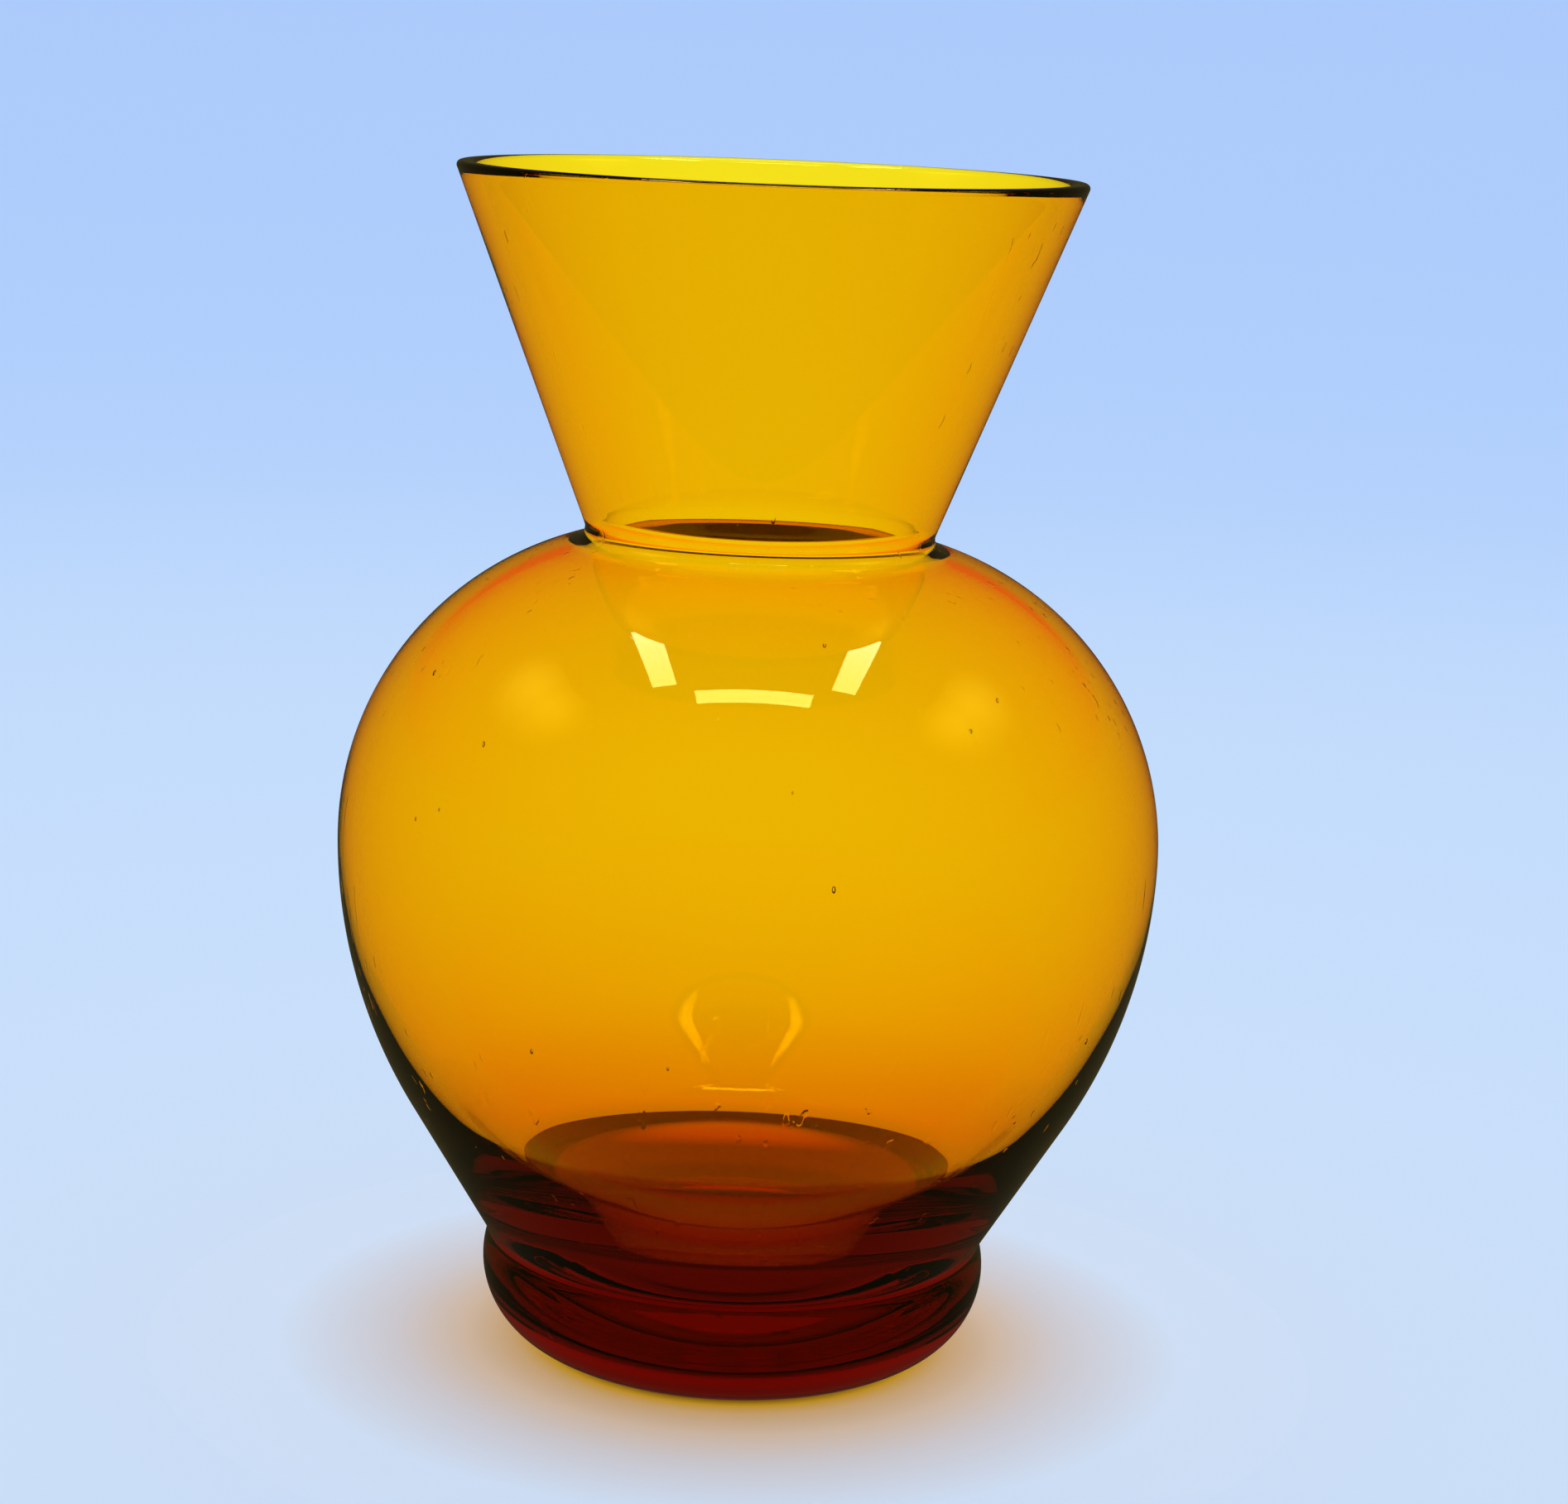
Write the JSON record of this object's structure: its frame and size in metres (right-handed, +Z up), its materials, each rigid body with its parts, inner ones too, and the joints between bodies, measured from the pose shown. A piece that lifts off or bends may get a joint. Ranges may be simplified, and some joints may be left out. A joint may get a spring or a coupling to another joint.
{
  "type": "bud vase",
  "caption": "Small transparent amber glass bud vase: flared mouth, narrow neck, round belly tapering to a waist, and a short rounded foot.",
  "frame": {"origin": "centre of the foot's resting ring, on the surface that the vase stands on", "axes": "+Z up along the axis of the turned shape, from the foot to the mouth; X and Y are any two directions square to it"},
  "size_m": [0.1105, 0.1104, 0.16],
  "materials": {
    "amber_glass": "clear transparent amber soda-lime glass, fire-polished, glossy inside and out"
  },
  "bodies": {
    "root": {"glass_vase": "amber_glass"}
  },
  "joints": []
}
